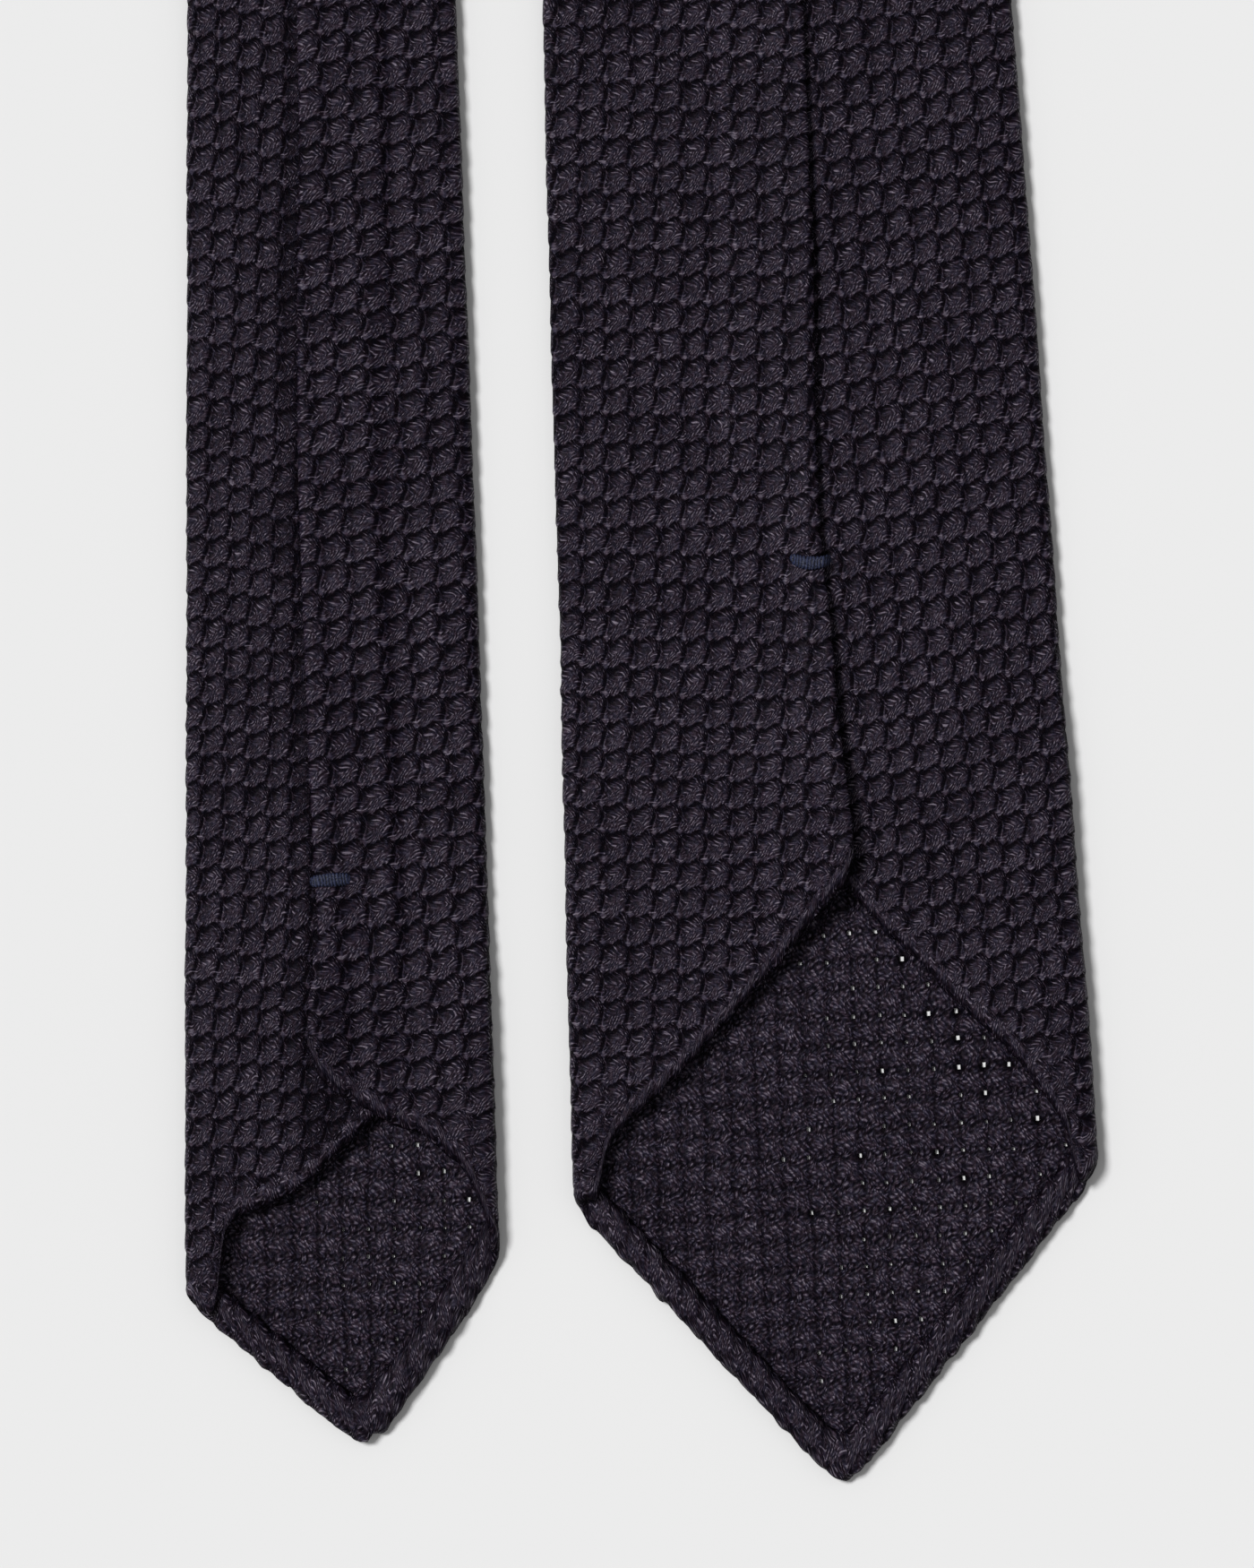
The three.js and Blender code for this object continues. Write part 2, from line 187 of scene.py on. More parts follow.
def fold_slope(y):
    """How the side fold leans. Near the points it is taken from further up, so the flaps stay unstretched."""
    steady = np.clip(y, FRONT["steady_from"], STRIP_LENGTH - TAIL["steady_from"])
    return (fold_x(steady + 3) - fold_x(steady - 3)) / 6


RIPPLES = np.random.default_rng(7).uniform(0, 1, (14, 3))


def ripple(x, y, low=9.0, high=45.0):
    """A gentle unevenness, from -1 to 1, that repeats nowhere."""
    total = 0.0
    for turn, size, phase in RIPPLES:
        length = low + (high - low) * size
        along = x * math.cos(math.pi * turn) + y * math.sin(math.pi * turn)
        total = total + np.sin(2 * math.pi * along / length + 6.283 * phase)
    return total / 5.5


def fold_over(u, y):
    """Folds the flat cloth over both side folds.

    Gives x, y, the height, how far a point is past the middle of its fold, and half the fold's own arc.
    """
    side = np.where(u < 0, -1.0, 1.0)
    away = np.abs(u)
    foot = np.array(y, float)
    for _ in range(4):
        foot = y + fold_slope(foot) * (away - fold_x(foot))
    slope = fold_slope(foot)
    steep = np.hypot(1, slope)
    radius = fold_radius(foot)
    half_arc = math.pi * radius / 2
    past = (away - fold_x(foot)) * steep
    angle = np.clip((past + half_arc) / radius, 0, math.pi)
    in_fold = radius * np.sin(angle) - half_arc
    reach = np.where(past < -half_arc, past, np.where(past > half_arc, -past, in_fold))
    x = fold_x(foot) + reach / steep
    along = foot - reach * slope / steep
    z = CLOTH / 2 + radius * (1 - np.cos(angle))
    return side * x, along, z, past, half_arc


def upper_flap_rise(x, y):
    """How far the upper flap stands above the lower one: it climbs over it, and gapes towards the points."""
    own = np.where(y < STRIP_MIDDLE, y, (STRIP_LENGTH - y) * 1.55)
    gape = 1.9 * (1 - ease(own, 95, 150)) + 0.4 * (1 - ease(own, 150, 240))
    near_seam = 1 - ease(seam_x(y) - x, 1.2 * EDGE_ROLL, SEAM_FLAT + 3.0)
    return CLIMB * climb_share(x, y) + (SEAM_RISE + gape) * near_seam


def on_upper_flap(u, past, half_arc):
    return (u < 0) & (past > half_arc)


def on_lower_flap(u, past, half_arc):
    return (u > 0) & (past > half_arc)


def climb_share(x, y):
    """How far the upper flap has climbed onto the lower one."""
    return ease(x, seam_x(y) - UNDERLAP - CLIMB_FROM, seam_x(y) - UNDERLAP - CLIMB_TO)


def bend_over(x, y, z, at, slope):
    """Rolls the strip beyond one fold line of the neck over onto itself."""
    half_bend = math.pi * BEND_RADIUS / 2
    steep = math.hypot(1, slope)
    beyond = (y - at - slope * x) / steep
    angle = np.clip((beyond + half_bend) / BEND_RADIUS, 0, math.pi)
    reach = BEND_AXIS_Z - z
    rest = np.maximum(beyond - half_bend, 0)
    moved = np.where(beyond > -half_bend, -half_bend + reach * np.sin(angle) - rest - beyond, 0)
    turned_z = np.where(beyond > -half_bend, BEND_AXIS_Z - reach * np.cos(angle), z)
    return x - moved * slope / steep, y + moved / steep, turned_z


def lay_down(x, y, z):
    """From the straight strip to the tie as it lies."""
    for at, slope in reversed(BENDS):
        x, y, z = bend_over(x, y, z, at, slope)
    right = x * math.cos(LEAN) - y * math.sin(LEAN) + START[0] - MIDDLE[0]
    up = x * math.sin(LEAN) + y * math.cos(LEAN) + START[1] - MIDDLE[1]
    return np.stack([right, up, z], axis=-1)


def middle_of_cloth(u, y):
    """Where a point of the flat cloth lies in the finished tie."""
    x, along, z, past, half_arc = fold_over(u, y)
    on_flap = ease(past - half_arc, 0, 6)
    upper = on_upper_flap(u, past, half_arc)
    seam = seam_x(along)
    z = z + on_flap * (0.10 + 0.16 * ripple(x, along)) + upper * upper_flap_rise(x, along)
    over = upper * np.maximum(x - (seam - EDGE_ROLL), 0)
    angle = np.minimum(over / EDGE_ROLL, math.pi)
    back = np.maximum(over - math.pi * EDGE_ROLL, 0)
    turned = over > 0
    x = np.where(turned, seam - EDGE_ROLL + EDGE_ROLL * np.sin(angle) - back, x)
    z = np.where(turned, z - EDGE_ROLL * (1 - np.cos(angle)), z)
    wave = 0.12 * ripple(along + 40, x * 0.5, 14, 60)
    return lay_down(x + wave, along, z)


def place(u, y, depth):
    """A point of the cloth, depth millimetres from its middle towards its back."""
    step = 0.02
    across = middle_of_cloth(u + step, y) - middle_of_cloth(u - step, y)
    along = middle_of_cloth(u, y + step) - middle_of_cloth(u, y - step)
    normal = np.cross(across, along)
    normal /= np.linalg.norm(normal, axis=-1, keepdims=True)
    return middle_of_cloth(u, y) + normal * np.asarray(depth)[..., None]


# The weave: one cell holds one hole, with a pebble of gathered threads between it and the next holes.
CELL_ACROSS = 3.9
CELL_ALONG = 4.24
WEAVE_HEIGHT = 0.38
WEAVE_BASE = 0.12
CELLS_STRAY = 0.20  # how far the cells stray from even rows
PEBBLES_STRAY = 0.035  # and how far, in cells, each pebble strays from its own place
GRID_OFFSET = 1 / 12  # in cells, half of the smallest face that a hole is cut from


def pebble(a, b):
    """The front of the weave from 0, the bottom of a hole, to 1. a runs to the right and b up, in cells."""
    a = np.mod(a, 1)
    b = np.mod(b, 1)
    arch = 0.27 * np.sin(math.pi * np.clip(a / 0.86, 0, 1) ** 1.4)
    t = np.mod(arch - b, 1)
    length = (0.5 + 0.5 * ease(t, 0.0, 0.2)) * (0.72 + 0.28 * ease(t, 0.1, 0.7))
    length = length * (1 - 0.5 * ease(t, 0.86, 1.0))
    dome = np.clip(np.sin(math.pi * np.clip(np.mod(a + 0.08, 1) / 0.88, 0, 1)), 0, 1) ** 0.45
    valley = 0.55 - 0.25 * (1 - ease(np.abs(t - 0.42), 0.08, 0.3))
    width = valley + (1 - valley) * dome
    near = np.minimum(a, 1 - a) ** 2 + np.minimum(b, 1 - b) ** 2
    knot = np.exp(-(((a - 0.82) * 1.1 + (b - 0.2)) ** 2 + ((a - 0.82) - (b - 0.2)) ** 2 * 0.35) / 0.02)
    return np.clip(length * width + 0.75 * knot - np.exp(-near / 0.009), 0, 1)


def star(a, b):
    """The back of the weave: flatter, with the crossing threads standing up between the holes."""
    a = np.mod(a, 1) - 0.5
    b = np.mod(b, 1) - 0.5
    cross = np.minimum(np.abs(a - b), np.abs(a + b))
    middle = np.exp(-(a ** 2 + b ** 2) / 0.03)
    near = (0.5 - np.abs(a)) ** 2 + (0.5 - np.abs(b)) ** 2
    return np.clip(0.55 + 0.15 * (1 - ease(cross, 0, 0.2)) + 0.2 * middle - 0.9 * np.exp(-near / 0.015), 0, 1)


# Each piece of cloth, in cells, with how its cells lie in the flat cloth
def even_cells(cell_x, cell_y):
    return cell_x * CELL_ACROSS, cell_y * CELL_ALONG


def tail_cells(cell_x, cell_y):
    """The tail's cloth, drawn wider on one flap, closer and askew on the other, and even at its seam."""
    u = cell_x * CELL_ACROSS
    own = cell_y * CELL_ALONG
    flap_from = 20.0
    wider = np.maximum(-u - flap_from, 0)
    closer = np.maximum(u - flap_from, 0)
    closer_soft = closer * closer / (closer + 3.0)
    wider_soft = wider * wider / (wider + 3.0)
    drawn = 1 - ease(own, 250, 400)
    askew = 0.12 * ease(own, 90, 160)
    return u - drawn * (0.14 * wider_soft + 0.13 * closer_soft), own - drawn * askew * closer_soft


def flap_rise(blade, under, extra):
    """How much higher a flap's lower edge lies than the cut line, by the distance past the side fold."""
    over_rows, under_rows = blade["flap_rise"]
    return np.where(under, read_table(under_rows, extra), read_table(over_rows, extra))


def edge_of_tip(blade):
    """The cut edge of a blade's tip in the flat cloth: own y for evenly spaced u, and its slope."""
    u = np.arange(-95, 95.01, 0.2)
    own = np.abs(u)
    for _ in range(30):
        x, along, _, past, half_arc = fold_over(u, blade["origin"] + blade["way"] * own)
        own_y = (along - blade["origin"]) * blade["way"]
        y = blade["origin"] + blade["way"] * np.maximum(own_y, 0)
        under = u > blade["apex"]
        tip = np.where(under, blade["tip_slope"][1], blade["tip_slope"][0])
        flap = np.where(under, blade["flap_slope"][1], blade["flap_slope"][0])
        fold_way = fold_x(y) - np.where(under, blade["apex"], -blade["apex"])
        on_flap = past > half_arc
        extra = np.where(on_flap, fold_x(y) - np.sign(u) * x, np.maximum(np.abs(u) - fold_x(y), 0))
        way = np.where(on_flap, fold_way + extra, np.abs(u - blade["apex"]))
        radius, kept = blade["apex_round"]
        rounded = np.hypot(way, radius) - kept
        target = tip * (rounded - extra) + flap * extra + flap_rise(blade, under, extra)
        left = np.clip(1 - (seam_x(y) - x) / CORNER_ROUND, 0, 1)
        corner = CORNER_ROUND * (1 - np.sqrt(1 - left * left))
        target = target + np.where(on_flap & (u < 0), corner, 0)
        own = own + 0.7 * (target - own_y)
    slope = np.gradient(own, u)
    return u, own, slope


EDGES = {blade["name"]: edge_of_tip(blade) for blade in (FRONT, TAIL)}


def edge_height(blade, u):
    table_u, own, slope = EDGES[blade["name"]]
    return np.interp(u, table_u, own), np.interp(u, table_u, slope)


def inside_edge(blade, u, y):
    """How far a point of the flat cloth lies inside the edge of the tip."""
    height, slope = edge_height(blade, u)
    own = (y - blade["origin"]) * blade["way"]
    return (own - height) / np.hypot(1, np.clip(slope, -2, 2))


def within_flaps(u, y):
    """Which points lie short of the upper flap's turned-in edge and of the lower flap's hidden one."""
    x, along, _, past, half_arc = fold_over(u, y)
    turned = math.pi * EDGE_ROLL + EDGE_TURNED_IN
    upper = on_upper_flap(u, past, half_arc) & (x > seam_x(along) - EDGE_ROLL + turned)
    lower = on_lower_flap(u, past, half_arc) & (x < seam_x(along) - UNDERLAP)
    return ~(upper | lower)


def beyond_seam(blade, at, u, y):
    """How far a point is past the bias seam at the end of a blade."""
    own = (y - blade["origin"]) * blade["way"]
    return own - at - (u - blade["apex"])


def face_centres(bm):
    return np.array([face.calc_center_median()[:2] for face in bm.faces])


def delete_faces(bm, unwanted):
    bm.faces.ensure_lookup_table()
    faces = [bm.faces[i] for i in np.nonzero(unwanted)[0]]
    bmesh.ops.delete(bm, geom=faces, context="FACES")


def split_faces(bm, wanted, only_across=False):
    """Cuts the edges of these faces in half."""
    bm.faces.ensure_lookup_table()
    edges = {edge for i in np.nonzero(wanted)[0] for edge in bm.faces[i].edges}
    if only_across:
        edges = {edge for edge in edges if abs(edge.verts[0].co.y - edge.verts[1].co.y) < 1e-5}
    bmesh.ops.subdivide_edges(bm, edges=list(edges), cuts=1, use_grid_fill=True)


def pierce(bm, chosen, room, openness):
    """Opens a hole in each of these faces, no two quite the same size and wider where there is room."""
    bm.faces.ensure_lookup_table()
    chosen = np.nonzero(chosen)[0]
    faces = [bm.faces[i] for i in chosen]
    shares = np.random.default_rng(5).uniform((0.55, 0.70), (0.90, 1.15), (len(faces), 2))
    shares = (shares + 0.20 * room[chosen, None]) * (0.5 + 0.5 * openness)
    for face, (wide, high) in zip(faces, shares):
        bmesh.ops.inset_individual(bm, faces=[face], thickness=0.01)
        centre = face.calc_center_median()
        bmesh.ops.scale(bm, vec=(wide, high, 1), space=Matrix.Translation(-centre), verts=face.verts[:])
    bmesh.ops.delete(bm, geom=faces, context="FACES")


def cell_grid(from_x, to_x, from_y, to_y, per_cell):
    """A flat grid in cells, set off a little so that each hole has a face of its own."""
    bm = bmesh.new()
    across = to_x - from_x
    along = to_y - from_y
    middle = ((from_x + to_x) / 2 + GRID_OFFSET, (from_y + to_y) / 2 + GRID_OFFSET, 0)
    stretch = Matrix.Diagonal((across, along, 1, 1))
    bmesh.ops.create_grid(
        bm,
        x_segments=across * per_cell,
        y_segments=along * per_cell,
        size=0.5,
        matrix=Matrix.Translation(middle) @ stretch,
    )
    return bm


def thicken(bm):
    """Gives the grid a second side, one unit away, and closes it round its edges."""
    bmesh.ops.solidify(bm, geom=bm.faces[:], thickness=1.0)
    heights = [vert.co.z for vert in bm.verts]
    far = max(heights) if abs(max(heights)) > abs(min(heights)) else min(heights)
    for vert in bm.verts:
        vert.co.z = 1.0 if abs(vert.co.z - far) < 0.5 else 0.0


def coarsen_back(bm, hidden):
    """Leaves only cell-sized faces on the back where it is shut inside the tie."""

    def on_line(value):
        return abs(value - GRID_OFFSET - round(value - GRID_OFFSET)) < 1e-3

    spare = []
    for edge in bm.edges:
        first, second = edge.verts
        if first.co.z < 0.5 or second.co.z < 0.5 or not edge.is_manifold:
            continue
        along_x = on_line(first.co.y) and on_line(second.co.y) and abs(first.co.y - second.co.y) < 1e-3
        along_y = on_line(first.co.x) and on_line(second.co.x) and abs(first.co.x - second.co.x) < 1e-3
        if along_x or along_y:
            continue
        if all(vert.co.z > 0.5 for face in edge.link_faces for vert in face.verts):
            spare.append(edge)
    middles = np.array([((e.verts[0].co + e.verts[1].co) / 2)[:2] for e in spare])
    chosen = hidden(middles[:, 0], middles[:, 1])
    bmesh.ops.dissolve_edges(bm, edges=[e for e, c in zip(spare, chosen) if c], use_verts=True)


def write_piece(bm, name, points, cells, relief, inside, material, loose=0.0):
    """Turns a bmesh into a finished piece, its points given in millimetres."""
    mesh = bpy.data.meshes.new(name)
    bm.to_mesh(mesh)
    bm.free()
    points[:, 2] = np.maximum(points[:, 2], 0.0)
    mesh.vertices.foreach_set("co", (points / 1000).astype(np.float32).ravel())
    mesh.update()
    corner_vertex = np.empty(len(mesh.loops), int)
    mesh.loops.foreach_get("vertex_index", corner_vertex)
    layer = mesh.uv_layers.new(name="cells")
    layer.data.foreach_set("uv", cells[corner_vertex].astype(np.float32).ravel())
    loose = np.zeros(len(points)) + loose
    for label, values in (("relief", relief), ("inside", inside), ("loose", loose)):
        attribute = mesh.attributes.new(label, "FLOAT", "POINT")
        attribute.data.foreach_set("value", values.astype(np.float32))
    if signed_volume(mesh) < 0:
        mesh.flip_normals()
    mesh.shade_smooth()
    mesh.materials.append(material)
    piece = bpy.data.objects.new(name, mesh)
    bpy.context.scene.collection.objects.link(piece)
    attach(piece, "root")
    return piece


def signed_volume(mesh):
    mesh.calc_loop_triangles()
    corners = np.empty(len(mesh.loop_triangles) * 3, int)
    mesh.loop_triangles.foreach_get("vertices", corners)
    places = np.empty(len(mesh.vertices) * 3)
    mesh.vertices.foreach_get("co", places)
    places = places.reshape(-1, 3)[corners].reshape(-1, 3, 3)
    return np.einsum("ij,ij->i", places[:, 0], np.cross(places[:, 1], places[:, 2])).sum() / 6


def crease_shade(u, y):
    """How much painted shade darkens the lower flap beside the upper one's edge, where little light reaches.
    """
    x, along, _, past, half_arc = fold_over(u, y)
    lower = on_lower_flap(u, past, half_arc)
    away = x - seam_x(along)
    from_tail = along > STRIP_MIDDLE
    reach = np.where(from_tail, 5.0, 2.0)
    amount = np.where(from_tail, 0.45, 0.2)
    return np.where(lower, amount * (1 - ease(away / reach)), 0.0)


def nowhere(u, y):
    """For cloth that is nowhere loosened or shaded."""
    return np.zeros(len(u))


def dress(bm, to_flat, mirror, name, material, loosened=nowhere, shaded=nowhere):
    """Lays a finished grid of cells into the tie, with the relief of the weave on both faces."""
    co = np.array([vert.co[:] for vert in bm.verts])
    u, y = to_flat(co[:, 0], co[:, 1])
    drift_x = CELLS_STRAY * ripple(u + 300, y, 5, 19)
    drift_y = CELLS_STRAY * ripple(u - 200, y + 90, 5, 19)
    pattern_x = co[:, 0] * mirror + PEBBLES_STRAY * ripple(u + 70, y, 3.2, 9)
    pattern_y = co[:, 1] + PEBBLES_STRAY * ripple(u - 35, y + 20, 3.2, 9)
    loose = loosened(u, y)
    uneven = 0.92 + 0.08 * ripple(u - 80, y - 15, 4, 12)
    front = pebble(pattern_x, pattern_y)
    front = (front + loose * 0.6 * (0.8 - front)) * uneven
    back = star(pattern_x, pattern_y)
    inside = co[:, 2] > 0.5
    depth = np.where(inside, 0.12 + 0.16 * back, -(WEAVE_BASE + WEAVE_HEIGHT * front))
    points = place(u + drift_x, y + drift_y, depth)
    cells = np.stack([pattern_x, pattern_y], axis=1)
    # The relief also sets painted shade on the colour; the painted shade by the seam and by the hem is taken
    # off it here.
    relief = np.where(inside, back, front) - crease_shade(u, y) - shaded(u, y)
    return write_piece(bm, name, points, cells, relief, inside.astype(float), material, loose)


def blade_cloth(blade, seam_at, to_flat, mirror, rows, columns, name, material):
    """One blade: a grid in cells, cut to the blade's outline, pierced, doubled and laid into place."""
    def flat(cell_x, cell_y):
        u, own = to_flat(cell_x, cell_y)
        return u, blade["origin"] + blade["way"] * own

    bm = cell_grid(-columns[0], columns[1], 0, rows, 3)
    u, y = flat(*face_centres(bm).T)
    near_enough = (inside_edge(blade, u, y) > EDGE_INSET - 0.5) & (beyond_seam(blade, seam_at, u, y) < 1.5)
    delete_faces(bm, ~(near_enough & within_flaps(u, y)))

    u, y = flat(*face_centres(bm).T)
    x, along, _, past, half_arc = fold_over(u, y)
    on_flap = past > -half_arc - 0.7
    arc = np.abs(past) < half_arc + 0.7
    tip_inside = (past < half_arc) & (single_layer(blade, x, along))
    shown = (y - blade["origin"]) * blade["way"] < FINE_LENGTH
    split_faces(bm, (on_flap & shown) | arc | tip_inside)

    u, y = flat(*face_centres(bm).T)
    x, along, _, past, half_arc = fold_over(u, y)
    near_seam = on_upper_flap(u, past, half_arc) & (np.abs(x - seam_x(along) - 0.35) < 1.3)
    split_faces(bm, near_seam, only_across=True)

    u, y = flat(*face_centres(bm).T)
    x, along, _, past, half_arc = fold_over(u, y)
    delete_faces(bm, ~((inside_edge(blade, u, y) > EDGE_INSET) & within_flaps(u, y)))

    centres = face_centres(bm)
    u, y = flat(*centres.T)
    x, along, _, past, half_arc = fold_over(u, y)
    sizes = np.array([face.calc_area() for face in bm.faces])
    at_node = np.all(np.abs(centres - np.round(centres)) < 0.02, axis=1) & (sizes < 0.03)
    tip_holes = (past < -half_arc - 1) & single_layer(blade, x, along, 0) & (inside_edge(blade, u, y) > 6)
    to_right = -mirror * x
    near_flap = 1 - ease(below_flap(blade, x, along), 5, 15)
    open_share = 0.03 + 0.40 * ease(to_right, -14, 0) + 0.42 * ease(to_right, 0, 9)
    open_share = np.maximum(open_share, 0.92 * near_flap * ease(to_right, -3, 1))
    chance = np.random.default_rng(11).uniform(0, 1, len(u))
    holes = at_node & tip_holes & (chance < open_share * blade["openness"])
    pierce(bm, holes, near_flap * ease(to_right, -3, 1), blade["openness"])

    # The end at the bias seam is cut straight through
    cut_at = seam_at - blade["apex"] - BIAS_GAP / 2
    bmesh.ops.bisect_plane(
        bm,
        geom=bm.verts[:] + bm.edges[:] + bm.faces[:],
        plane_co=(0, cut_at / CELL_ALONG, 0),
        plane_no=(-CELL_ACROSS, CELL_ALONG, 0),
        clear_outer=True,
    )
    thicken(bm)

    def hidden(cell_x, cell_y):
        u, y = flat(cell_x, cell_y)
        x, along, _, past, half_arc = fold_over(u, y)
        return ~((past < half_arc + 2) & single_layer(blade, x, along, 6))

    def loosened(u, y):
        x, along, _, past, half_arc = fold_over(u, y)
        at_corner = 1 - ease(half_width(along) - np.abs(x), 5, 10)
        away = inside_edge(blade, u, y) - 2.5 * at_corner
        return ease(past, -half_arc, half_arc) * (1 - ease(away, 1.5, 3.0 + 2.0 * at_corner))

    def shade_beside_hem(u, y):
        # Painted shade in the groove inside the hem, heavier on the left, where the hem's roll shades it from
        # the light.
        x, _, _, past, half_arc = fold_over(u, y)
        amount = 0.45 - 0.25 * ease(-mirror * x, -2, 4)
        return np.where(past < -half_arc, amount * (1 - ease(inside_edge(blade, u, y), 4.6, 6.6)), 0.0)

    coarsen_back(bm, hidden)
    return dress(bm, flat, mirror, name, material, loosened, shade_beside_hem)


def below_flap(blade, x, along):
    """How far towards the point a place in the tip lies from the flap's edge above it."""
    own = (along - blade["origin"]) * blade["way"]
    under = x > blade["apex"]
    fold = half_width(along)
    edge = np.where(
        under,
        blade["tip_slope"][1] * (fold - blade["apex"]) + blade["flap_slope"][1] * (fold - x),
        blade["tip_slope"][0] * (fold + blade["apex"]) + blade["flap_slope"][0] * (fold + x),
    )
    return edge + flap_rise(blade, under, fold - np.abs(x)) - own


def single_layer(blade, x, along, margin=4.0):
    """Where the inside of the tip shows below the flaps."""
    return below_flap(blade, x, along) > -margin


HEM_STEP = 0.43
HEM_AROUND = 26

# The hem's cross-section: a from the edge inwards, and depth from the middle of the cloth towards its back
HEM_PROFILE = [
    (2.9, 0.10), (2.4, 0.02), (1.6, 0.0), (0.95, 0.05), (0.5, 0.35), (0.38, 0.9), (0.6, 1.5), (1.3, 2.0),
    (2.4, 2.2), (3.5, 2.1), (4.35, 1.75), (4.8, 1.25), (4.75, 0.75), (4.35, 0.35), (3.9, 0.08), (3.4, 0.0),
]


def smooth_loop(points, count):
    """Evenly spaced points on a smooth closed curve."""
    points = np.array(points)
    fine = []
    size = len(points)
    for i in range(size):
        p = [points[(i + k) % size] for k in (-1, 0, 1, 2)]
        for t in np.linspace(0, 1, 12, endpoint=False):
            fine.append(
                0.5 * (2 * p[1] + (p[2] - p[0]) * t + (2 * p[0] - 5 * p[1] + 4 * p[2] - p[3]) * t ** 2
                       + (3 * p[1] - p[0] - 3 * p[2] + p[3]) * t ** 3)
            )
    fine = np.array(fine)
    closed = np.vstack([fine, fine[:1]])
    way = np.concatenate([[0], np.cumsum(np.linalg.norm(np.diff(closed, axis=0), axis=1))])
    at = np.linspace(0, way[-1], count, endpoint=False)
    return np.stack([np.interp(at, way, closed[:, 0]), np.interp(at, way, closed[:, 1])], axis=1), at


def close_tube(bm, co, stations):
    """Welds the two long edges of a grid that has been rolled up, co being where its points were before."""
    first = {}
    last = {}
    for vert, cell in zip(bm.verts, co):
        station = round((cell[0] + 0.5) * stations)
        if cell[1] < -0.499:
            first[station] = vert
        if cell[1] > 0.499:
            last[station] = vert
    bmesh.ops.weld_verts(bm, targetmap={last[s]: first[s] for s in first})


